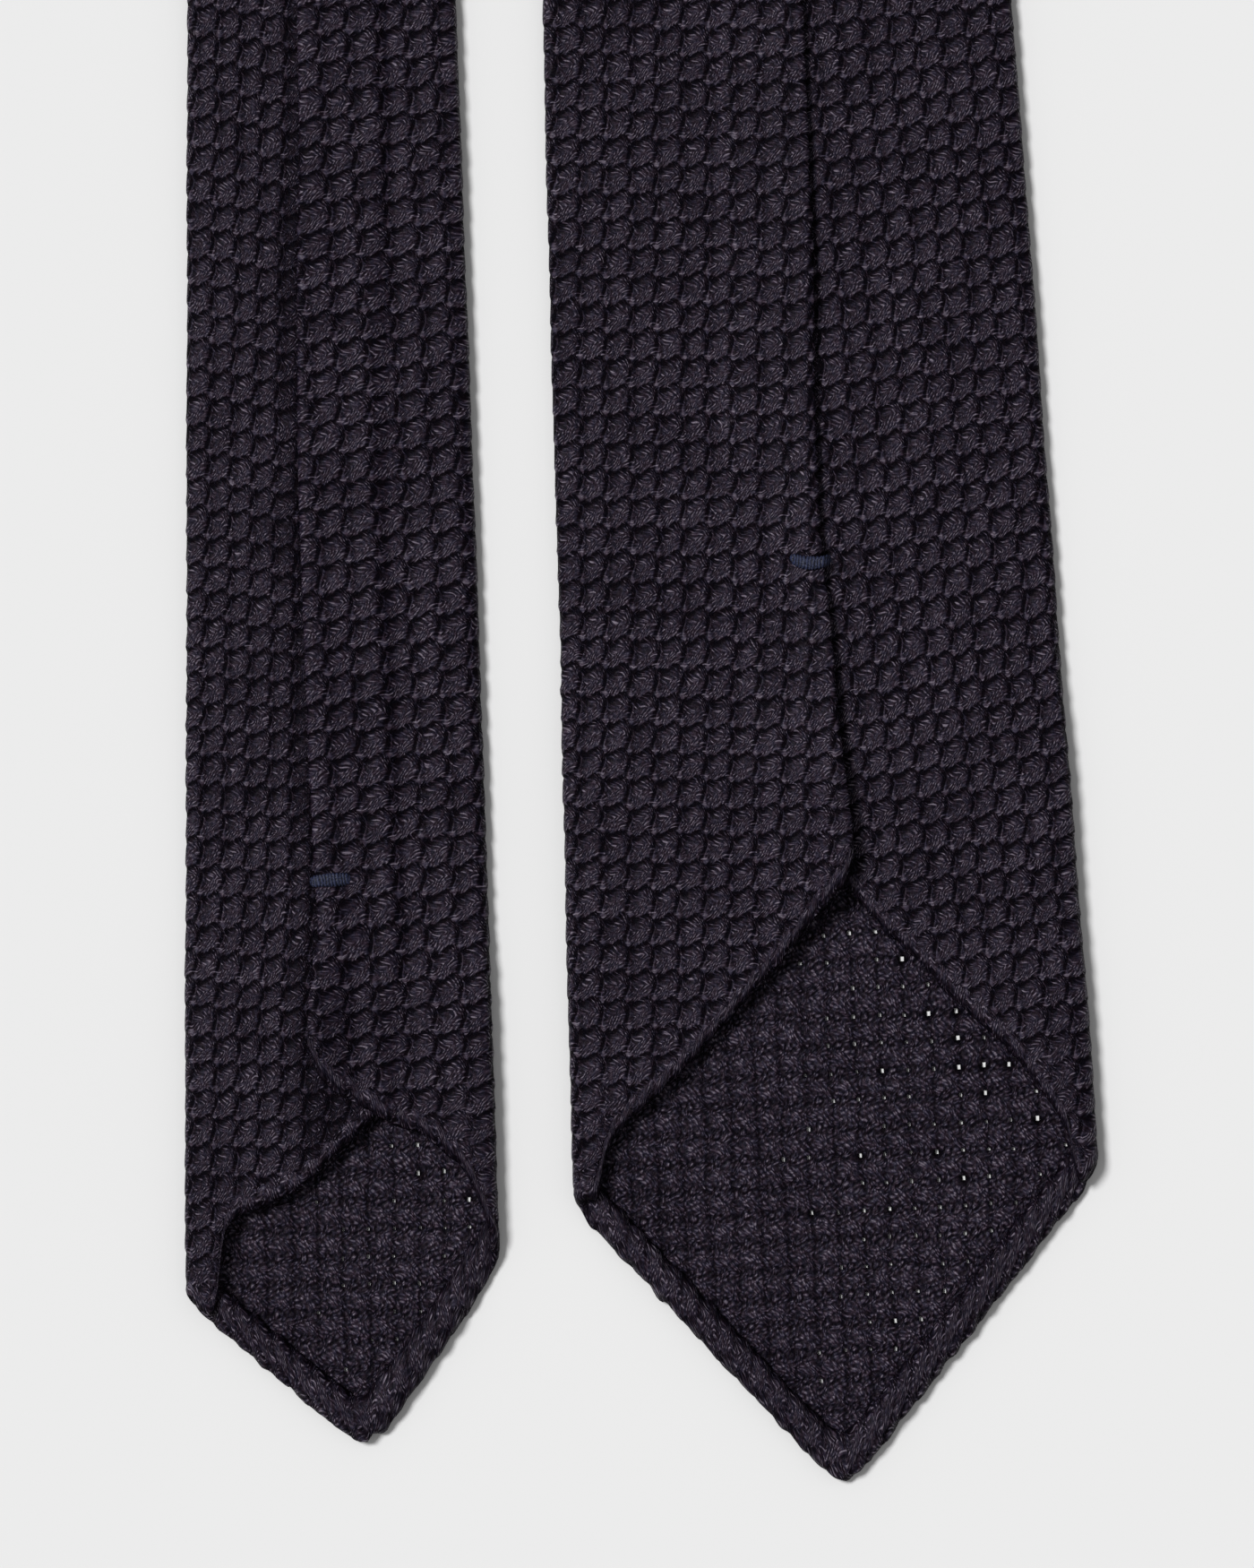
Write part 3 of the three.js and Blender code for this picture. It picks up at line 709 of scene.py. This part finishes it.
def hem(blade, name, material):
    """The rolled hem along the edge of the tip: a tube swept from the seam round the point."""
    profile, way = smooth_loop(HEM_PROFILE, HEM_AROUND)
    around = len(profile)
    turn = np.roll(profile, -1, axis=0) - np.roll(profile, 1, axis=0)
    outward = np.stack([-turn[:, 1], turn[:, 0]], axis=1)
    outward /= np.linalg.norm(outward, axis=1, keepdims=True)
    if np.mean(np.sum(outward * (profile - profile.mean(axis=0)), axis=1)) < 0:
        outward = -outward

    table_u, table_own = EDGES[blade["name"]][:2]
    x, along, _, past, half_arc = fold_over(table_u, blade["origin"] + blade["way"] * table_own)
    over_end = table_u[(table_u < 0) & (x < seam_x(along) + 0.9)].min()
    under_end = table_u[(table_u > 0) & ((past < half_arc) | (x > seam_x(along) - UNDERLAP))].max()
    stations = int((under_end - over_end) / HEM_STEP)
    u = np.linspace(over_end, under_end, stations)
    own = np.interp(u, table_u, table_own)

    bm = bmesh.new()
    cells_layer = bm.verts.layers.float_vector.new("cell")
    relief_layer = bm.verts.layers.float.new("height")
    bmesh.ops.create_grid(bm, x_segments=stations - 1, y_segments=around, size=0.5)
    co = np.array([vert.co[:] for vert in bm.verts])
    station = np.rint((co[:, 0] + 0.5) * (stations - 1)).astype(int)
    ring = np.rint((co[:, 1] + 0.5) * around).astype(int) % around

    steep = np.hypot(1, smooth_slope(blade, u))[station]
    a = profile[ring, 0]
    depth = profile[ring, 1]
    out_a = outward[ring, 0]
    out_d = outward[ring, 1]
    base_u = u[station]
    base_own = own[station]
    run = np.concatenate([[0], np.cumsum(np.hypot(np.diff(u), np.diff(own)))])
    pattern_x = run[station] / CELL_ACROSS
    cell_y = way[ring] / CELL_ALONG
    relief = pebble(pattern_x, cell_y)
    # Painted light on the roll's crown and painted shade down its sides, most on its inner side.
    crown_light = ease(depth, 0.3, 1.9) * (1 - 0.6 * ease(a, 3.6, 4.6))
    buried = (a > 2.5) & (depth < 0.3)
    at_point = 1 - ease(np.abs(base_u - blade["apex"]), 0.5, 3.0)
    flap_side = (np.abs(base_u) > fold_x(blade["origin"] + blade["way"] * base_own)) & (depth < 0.4)
    amount = np.where(flap_side, 0.36, 0.34) * (1 - at_point)
    skin = np.where(buried, 0.02, 0.14 + amount * relief + 0.10 * at_point)
    lumps = 0.28 * ripple(base_u * 1.5 + 2 * ring, base_own * 1.5, 3.0, 11.0)
    skin = skin + np.where(depth > 0.4, lumps, 0)

    x, along, _, past, half_arc = fold_over(base_u, blade["origin"] + blade["way"] * base_own)
    thin = CORNER_SHARE + (1 - CORNER_SHARE) * ease(np.abs(past) - half_arc, 0, CORNER_EASE)
    climbed = on_upper_flap(base_u, past, half_arc) * climb_share(x, along)
    thin = thin * (1 - climbed)
    a_out = a + out_a * skin
    narrow = blade["hem_width"][0] + (blade["hem_width"][1] - blade["hem_width"][0]) * ease(base_u, -8, 4)
    a_out = np.where(a_out > 0.5, 0.5 + (a_out - 0.5) * narrow, a_out)
    depth_out = depth + out_d * skin
    depth_out = np.where(depth_out > 0.45, 0.45 + (depth_out - 0.45) * thin, depth_out)
    points = place(base_u, blade["origin"] + blade["way"] * (base_own + a_out * steep), depth_out)

    # The colour's relief: the weave, with the painted light and shade of the crown on the roll.
    shown = np.where(depth > 0.1, relief * 0.4 - 0.15 + 0.6 * crown_light, relief)
    for vert, point, cell_x_here, cell_y_here, height in zip(bm.verts, points, pattern_x, cell_y, shown):
        vert.co = point
        vert[cells_layer] = (cell_x_here, cell_y_here, 0)
        vert[relief_layer] = height
    close_tube(bm, co, stations - 1)
    bmesh.ops.holes_fill(bm, edges=[edge for edge in bm.edges if edge.is_boundary], sides=0)
    points = np.array([vert.co[:] for vert in bm.verts])
    cells = np.array([vert[cells_layer][:2] for vert in bm.verts])
    relief = np.array([vert[relief_layer] for vert in bm.verts])
    bm.verts.layers.float_vector.remove(bm.verts.layers.float_vector["cell"])
    bm.verts.layers.float.remove(bm.verts.layers.float["height"])
    return write_piece(bm, name, points, cells, relief, np.zeros(len(points)), material, 1.0)


def smooth_slope(blade, u):
    """The edge's slope with the rounded point and corner left out, which sets the hem's width."""
    under = ease(u - blade["apex"], -2.5, 2.5)
    tip = blade["tip_slope"][0] + (blade["tip_slope"][1] - blade["tip_slope"][0]) * under
    flap = blade["flap_slope"][0] + (blade["flap_slope"][1] - blade["flap_slope"][0]) * under
    fold = fold_x(np.full_like(u, blade["origin"] + blade["way"] * 45))
    return tip + (flap - tip) * ease(np.abs(u), fold - 2, fold + 2)


def neck_cloth(name, material):
    """The neck band between the two bias seams, over both folds of the neck."""
    bm = cell_grid(-12, 13, 108, 246, 4)

    def kept(u, y, room):
        from_front = beyond_seam(FRONT, FRONT_SEAM_AT, u, y)
        from_tail = beyond_seam(TAIL, TAIL_SEAM_AT, u, y)
        return within_flaps(u, y) & (from_front > -room) & (from_tail > -room)

    u, y = even_cells(*face_centres(bm).T)
    delete_faces(bm, ~kept(u, y, 1.5))
    for blade, at in ((FRONT, FRONT_SEAM_AT), (TAIL, TAIL_SEAM_AT)):
        start = blade["origin"] + blade["way"] * (at - blade["apex"])
        cut_y = start + blade["way"] * BIAS_GAP / 2
        bmesh.ops.bisect_plane(
            bm,
            geom=bm.verts[:] + bm.edges[:] + bm.faces[:],
            plane_co=(0, cut_y / CELL_ALONG, 0),
            plane_no=(CELL_ACROSS, -blade["way"] * CELL_ALONG, 0),
            clear_outer=True,
        )
    thicken(bm)
    coarsen_back(bm, lambda cell_x, cell_y: np.ones(len(cell_x), bool))
    return dress(bm, even_cells, -1, name, material)


def to_linear(hex_colour):
    """An sRGB hex colour as linear red, green, blue and full opacity."""
    channels = [int(hex_colour[i : i + 2], 16) / 255 for i in (1, 3, 5)]
    linear = [c / 12.92 if c <= 0.04045 else ((c + 0.055) / 1.055) ** 2.4 for c in channels]
    return (*linear, 1.0)


def new_material(name):
    material = bpy.data.materials.new(name)
    material.use_nodes = True
    tree = material.node_tree
    shader = next(node for node in tree.nodes if node.type == "BSDF_PRINCIPLED")
    return material, tree, shader


def add_node(tree, kind, inputs=None, output=0, **settings):
    """Adds one node with its settings, joins up its inputs and gives one of its outputs."""
    node = tree.nodes.new("ShaderNode" + kind)
    for name, value in settings.items():
        setattr(node, name, value)
    for key, value in (inputs or {}).items():
        value = value.socket if isinstance(value, Signal) else value
        if isinstance(value, bpy.types.NodeSocket):
            tree.links.new(value, node.inputs[key])
        else:
            node.inputs[key].default_value = value
    return node.outputs[output]


class Signal:
    """A value in a material that sums can be done with. Each operation adds one Math node."""

    def __init__(self, tree, socket):
        self.tree = tree
        self.socket = socket

    def reckon(self, operation, *others):
        inputs = dict(enumerate((self, *others)))
        return Signal(self.tree, add_node(self.tree, "Math", inputs, operation=operation))

    def __add__(self, other):
        return self.reckon("ADD", other)

    def __sub__(self, other):
        return self.reckon("SUBTRACT", other)

    def __mul__(self, other):
        return self.reckon("MULTIPLY", other)

    def left_of(self, whole):
        return (self * -1.0) + whole

    def eased(self, low, high):
        inputs = {"Value": self, "From Min": low, "From Max": high}
        return Signal(self.tree, add_node(self.tree, "MapRange", inputs, interpolation_type="SMOOTHSTEP"))

    def hump(self, middle, near, far):
        """One within a distance of the middle, falling to nothing further off."""
        return (self - middle).reckon("ABSOLUTE").eased(near, far).left_of(1.0)


def grenadine_silk():
    """Twisted silk, nearly black with a plum cast: painted shade in the hollows, and short bright dashes of
    thread that are partly painted highlights.
    """
    material, tree, shader = new_material("grenadine silk")

    def noise(vector, scale, detail=1.0):
        inputs = {"Vector": vector, "Scale": scale, "Detail": detail, "Roughness": 0.55}
        return Signal(tree, add_node(tree, "TexNoise", inputs))

    def combined(x, y):
        return add_node(tree, "CombineXYZ", {0: x, 1: y})

    def moved(vector, away):
        return add_node(tree, "VectorMath", {0: vector, 1: away}, operation="ADD")

    def from_mesh(label):
        return Signal(tree, add_node(tree, "Attribute", output=2, attribute_name=label))

    cells = add_node(tree, "UVMap", uv_map="cells")
    relief = from_mesh("relief")
    inside = from_mesh("inside")
    loose = from_mesh("loose")
    cell_axes = add_node(tree, "SeparateXYZ", {0: cells}).node.outputs
    x = Signal(tree, cell_axes[0]) + (noise(cells, 1.1) - 0.5) * 0.12
    y = Signal(tree, cell_axes[1]) + (noise(moved(cells, (37.0, 11.0, 5.0)), 1.1) - 0.5) * 0.12
    uneven = noise(moved(cells, (-19.0, 5.0, 2.0)), 0.9).eased(0.25, 0.60)
    a = x.reckon("FRACT")
    b = y.reckon("FRACT")

    # Painted shade in the hollows: the hole, the dark line over the top of each pebble and the crevice at its
    # side
    arch = ((a * (1 / 0.86)).reckon("MINIMUM", 1.0).reckon("POWER", 1.4) * math.pi).reckon("SINE") * 0.27
    t = (arch - b).reckon("FRACT")
    shadow = t.eased(0.04, 0.26).left_of(1.0)
    line = t.eased(0.08, 0.24).left_of(1.0) * a.eased(0.40, 0.90).left_of(1.0)
    near_x = a.reckon("MINIMUM", a.left_of(1.0))
    near_y = b.reckon("MINIMUM", b.left_of(1.0))
    to_hole = (near_x * near_x + near_y * near_y).reckon("SQRT")
    hole = to_hole.eased(0.06, 0.17).left_of(1.0)

    # Painted highlights where the light catches: the knot above each hole, and the strand from the hole to
    # the next knot
    knot = (a - 0.82).reckon("ABSOLUTE") + (b - 0.18).reckon("ABSOLUTE")
    knot = knot.eased(0.05, 0.20).left_of(1.0)
    bowed = (b * (2 * math.pi)).reckon("SINE") * 0.05
    beside = (x + (b - 0.2) * -0.06 + bowed + 0.67).reckon("FRACT")
    strand = beside.hump(0.5, 0.012, 0.045) * b.hump(0.58, 0.28, 0.40)
    crevice = beside.hump(0.41, 0.03, 0.13) * b.hump(0.58, 0.20, 0.42)
    rim = t.hump(0.93, 0.02, 0.06) * a.eased(0.45, 0.80).left_of(1.0)
    proud_highlight = (knot * 0.8).reckon("MAXIMUM", strand * (uneven * 0.8 + 0.2)).reckon("MAXIMUM", rim * 0.6)
    hollow_shade = (shadow * 0.35).reckon("MAXIMUM", line * (uneven * -0.2 + 0.85))
    hollow_shade = hollow_shade.reckon("MAXIMUM", crevice * 0.8).reckon("MAXIMUM", hole)

    # The back of the cloth: a small knot with a painted highlight, ringed with painted shadow beside each
    # hole, and crossing threads
    back_a = (a - 0.5).reckon("ABSOLUTE")
    back_b = (b - 0.5).reckon("ABSOLUTE")
    heart = (back_a * back_a + back_b * back_b).reckon("SQRT").eased(0.08, 0.24).left_of(1.0)
    from_knot = ((a - 0.6) * (a - 0.6) + near_y * near_y).reckon("SQRT")
    small_knot = from_knot.eased(0.05, 0.10).left_of(1.0)
    ring = from_knot.hump(0.15, 0.02, 0.07)
    row = near_y.eased(0.02, 0.22).left_of(1.0)
    back_hollow_shade = (hole * 0.8).reckon("MAXIMUM", ring * 0.7).reckon("MAXIMUM", row * 0.2)
    back_hollow_shade = back_hollow_shade.reckon("MAXIMUM", back_a.hump(0.5, 0.02, 0.14) * 0.45)
    back_highlight = (heart * 0.5).reckon("MAXIMUM", small_knot * 1.3)

    # Threads 0.6 mm apart in dashes of 0.4 to 0.5 mm, coarser than the silk's filaments so that they show.
    # They lean one way above a pebble's middle and the other way below it.
    # The dashes' brightness is partly the threads' own tone and partly painted glints of the silk's sheen.
    threads_in_cell = 6.2
    dashes_across = 9.6
    dashes_along = 8.4
    fray = noise(cells, 2.6, 0.0)
    across = x + (t - 0.5).reckon("ABSOLUTE") * (inside * -0.45 + 0.95) + (fray - 0.5) * 0.22
    stripe = (across * (threads_in_cell * 2 * math.pi)).reckon("COSINE").eased(-0.6, 0.8)
    coarser = inside * -0.25 + 1.0
    dash_y = y * coarser * dashes_along + (fray - 0.5) * 1.2
    dash_at = {"Vector": combined(across * coarser * dashes_across, dash_y), "Scale": 1.0}
    spots = add_node(tree, "TexVoronoi", dash_at, voronoi_dimensions="2D").node.outputs
    dash = Signal(tree, spots[0]).eased(0.15, 0.62).left_of(1.0)
    dash_tone = Signal(tree, add_node(tree, "SeparateXYZ", {0: spots[1]}))
    speck = noise(cells, 14.0)
    lines = stripe * (dash * 0.5 + 0.35) * inside.left_of(1.0)
    threads_and_glints = (lines + dash * (inside * 0.4 + 0.6)) * (dash_tone * 1.9 + 1.3) + (speck - 0.5) * 2.2

    keep = loose * -0.65 + 1.0
    front_tone = (proud_highlight * 2.3 - proud_highlight * threads_and_glints * 0.6 - hollow_shade * 2.5) * keep
    crossing = ((a * 3.0 + b) * (2 * math.pi)).reckon("COSINE")
    crossing = crossing * ((b * 4.0 - a) * (2 * math.pi)).reckon("COSINE")
    back_tone = back_highlight - back_hollow_shade * 1.6 + crossing * 0.7 - threads_and_glints * 0.15 + 0.35
    tone = front_tone * inside.left_of(1.0) + back_tone * inside + threads_and_glints
    slow = (noise(cells, 0.35) - 0.5) * 0.8
    # Low relief is painted darker: painted shade in the weave's hollows, and the painted shade by the seam
    # and the hem that the mesh carries in it.
    lift = (tone + slow + (relief - 0.6) * (inside * -1.1 + 2.0)) * 1.15 - 1.64
    bright = (lift.reckon("MAXIMUM", -2.6) * math.log(2)).reckon("EXPONENT").reckon("MINIMUM", 7.0)
    height = threads_and_glints * 0.30 + tone * 0.20
    bump = add_node(tree, "Bump", {"Strength": 1.0, "Distance": 0.00010, "Height": height})

    # Plum-black threads, with bluer and browner ones among them, that turn grey where a highlight is painted
    # on them
    tint = noise(combined(x * 6.0, y * 4.0), 1.0, 2.0)
    thread_colour = add_node(tree, "ValToRGB", {"Fac": tint})
    ramp = thread_colour.node.color_ramp
    ramp.elements[0].position = 0.40
    ramp.elements[0].color = to_linear("#261c27")
    ramp.elements[1].position = 0.60
    ramp.elements[1].color = to_linear("#201c2a")
    shine = bright.eased(0.8, 5.0)
    greyed = add_node(
        tree, "Mix", {0: shine, 6: thread_colour, 7: to_linear("#272329")}, output=2, data_type="RGBA"
    )
    coloured = add_node(tree, "VectorMath", {0: greyed, "Scale": bright}, operation="SCALE")
    tree.links.new(coloured, shader.inputs["Base Color"])
    tree.links.new(bump, shader.inputs["Normal"])
    gloss = bright.reckon("MINIMUM", 3.0) * 0.10
    tree.links.new(gloss.socket, shader.inputs["Specular IOR Level"])
    shader.inputs["Roughness"].default_value = 0.45
    return material


def tack_thread():
    """Twisted navy sewing silk: bluer than the cloth, each turn of thread with painted shade at its sides and
    painted light on its crest.
    """
    material, tree, shader = new_material("tack thread")
    place_of = add_node(tree, "TexCoord", output=3)
    # The fibres are drawn 0.4 mm coarse, so that they show
    fibres = Signal(tree, add_node(tree, "TexNoise", {"Vector": place_of, "Scale": 2600.0, "Detail": 2.0}))
    crown_light = Signal(tree, add_node(tree, "Attribute", output=2, attribute_name="relief"))
    bump = add_node(tree, "Bump", {"Strength": 1.0, "Distance": 0.00025, "Height": fibres})
    tree.links.new(bump, shader.inputs["Normal"])
    # From painted shade at the sides of each turn to painted light on its crest, mixed with the fibres' own
    # texture.
    thread_colour = add_node(tree, "ValToRGB", {"Fac": crown_light * 0.75 + (fibres - 0.5) * 1.6})
    ramp = thread_colour.node.color_ramp
    ramp.elements[0].position = 0.15
    ramp.elements[0].color = to_linear("#0d0f1a")
    ramp.elements[1].position = 0.85
    ramp.elements[1].color = to_linear("#282e4a")
    tree.links.new(thread_colour, shader.inputs["Base Color"])
    shader.inputs["Roughness"].default_value = 0.5
    shader.inputs["Specular IOR Level"].default_value = 0.3
    return material


def bar_tack(blade, name, material):
    """A bar of thread wrapped round and round across the seam, its ends drawn down into the cloth."""
    at_x, at_own, turn = blade["tack"]
    length = 6.4
    wraps = 13
    stations = wraps * 12
    around = 20
    bm = bmesh.new()
    # Each turn's crest is kept to paint light on it and shade at its sides.
    crown_layer = bm.verts.layers.float.new("crown_light")
    bmesh.ops.create_grid(bm, x_segments=stations, y_segments=around, size=0.5)
    co = np.array([vert.co[:] for vert in bm.verts])
    along = co[:, 0] * 2
    angle = 2 * math.pi * (co[:, 1] + 0.5)
    full = np.sqrt(np.clip(1 - np.abs(along) ** 6, 0, 1))
    sway = 0.35 * ripple(along * 9, np.sin(angle) * 3, 2.5, 7)
    wrap = along * wraps / 2 + angle / (2 * math.pi) + sway
    ridge = np.abs(np.cos(math.pi * wrap)) ** 0.7
    swell = 1 + 0.10 * ripple(along * 6 + 50, angle * 0, 3, 8)
    width = 1.02 * full * (0.74 + 0.26 * ridge) * swell
    thick = 0.42 * full * (0.62 + 0.38 * ridge)
    at_ends, at_middle = blade["tack_bow"]
    run = along * length / 2
    out = width * np.cos(angle) + at_middle * (1 - along ** 2) + at_ends
    x = at_x + run * math.cos(turn) - out * math.sin(turn)
    own = at_own + run * math.sin(turn) + out * math.cos(turn)
    y = blade["origin"] + blade["way"] * own
    seam_here = float(seam_x(np.array([blade["origin"] + blade["way"] * at_own]))[0])
    level = CLOTH + 2 * fold_radius(y)
    on_upper = level + upper_flap_rise(np.minimum(x, seam_here), y)
    z = on_upper + (level + 0.3 - on_upper) * ease(x, seam_here + 0.3, seam_here + 2.4)
    z = z + 0.28 - 0.45 * np.abs(along) ** 4 + thick * np.sin(angle)
    points = lay_down(x, y, z)
    for vert, point, height in zip(bm.verts, points, ridge):
        vert.co = point
        vert[crown_layer] = height
    close_tube(bm, co, stations)
    bmesh.ops.remove_doubles(bm, verts=bm.verts[:], dist=0.0005)
    points = np.array([vert.co[:] for vert in bm.verts])
    crown_light = np.array([vert[crown_layer] for vert in bm.verts])
    bm.verts.layers.float.remove(bm.verts.layers.float["crown_light"])
    return write_piece(bm, name, points, points[:, :2], crown_light, np.zeros(len(points)), material)


silk = grenadine_silk()
thread = tack_thread()
front_cloth = blade_cloth(FRONT, FRONT_SEAM_AT, even_cells, -1, 136, (22, 22), "front_cloth", silk)
front_hem = hem(FRONT, "front_hem", silk)
tail_cloth = blade_cloth(TAIL, TAIL_SEAM_AT, tail_cells, 1, 124, (15, 15), "tail_cloth", silk)
tail_hem = hem(TAIL, "tail_hem", silk)
neck = neck_cloth("neck_cloth", silk)
front_tack = bar_tack(FRONT, "front_tack", thread)
tail_tack = bar_tack(TAIL, "tail_tack", thread)

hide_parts("front_blade")
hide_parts("tail_blade")
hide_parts("neck_band")
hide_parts("front_bar_tack")
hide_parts("tail_bar_tack")


def paper_floor():
    """Matt white paper: plain and pale, with no gloss."""
    material, _, shader = new_material("matt paper")
    shader.inputs["Base Color"].default_value = to_linear("#e7e7e7")
    shader.inputs["Roughness"].default_value = 1.0
    shader.inputs["Specular IOR Level"].default_value = 0.0
    bm = bmesh.new()
    bmesh.ops.create_grid(bm, x_segments=1, y_segments=1, size=4.0)
    mesh = bpy.data.meshes.new("floor")
    bm.to_mesh(mesh)
    bm.free()
    mesh.materials.append(material)
    floor = bpy.data.objects.new("floor", mesh)
    bpy.context.scene.collection.objects.link(floor)


# The photograph covers 239.1 mm from top to bottom and looks straight down
VIEW_LENGTH = 0.2391
VIEW_MIDDLE = (0.00058, -0.2568)
CAMERA_HEIGHT = 1.5
SCALE_LEVEL = 0.002  # the height above the table at which the photograph's scale holds
SENSOR = 36
WINDOW_ELEVATION = math.radians(57)
WINDOW_TURN = math.radians(152)
FROM_WINDOW = 0.75  # light on the table, as a share of full white
FROM_ROOM = 0.30


def light_and_camera():
    """Soft light from the upper left, and a camera straight above the blades."""
    scene = bpy.context.scene
    world = bpy.data.worlds.new("even light")
    world.use_nodes = True
    background = world.node_tree.nodes["Background"]
    background.inputs["Color"].default_value = to_linear("#ffffff")
    background.inputs["Strength"].default_value = FROM_ROOM
    scene.world = world
    window = bpy.data.lights.new("window light", "SUN")
    window.energy = FROM_WINDOW * math.pi / math.sin(WINDOW_ELEVATION)
    window.angle = math.radians(18)
    lamp = bpy.data.objects.new("window light", window)
    lamp.rotation_euler = (0, math.pi / 2 - WINDOW_ELEVATION, WINDOW_TURN)
    scene.collection.objects.link(lamp)
    camera = bpy.data.cameras.new("camera")
    camera.sensor_width = SENSOR
    camera.lens = SENSOR * CAMERA_HEIGHT / VIEW_LENGTH
    holder = bpy.data.objects.new("camera", camera)
    holder.location = (*VIEW_MIDDLE, CAMERA_HEIGHT + SCALE_LEVEL)
    scene.collection.objects.link(holder)
    scene.camera = holder
    scene.view_settings.view_transform = "Standard"


paper_floor()
light_and_camera()
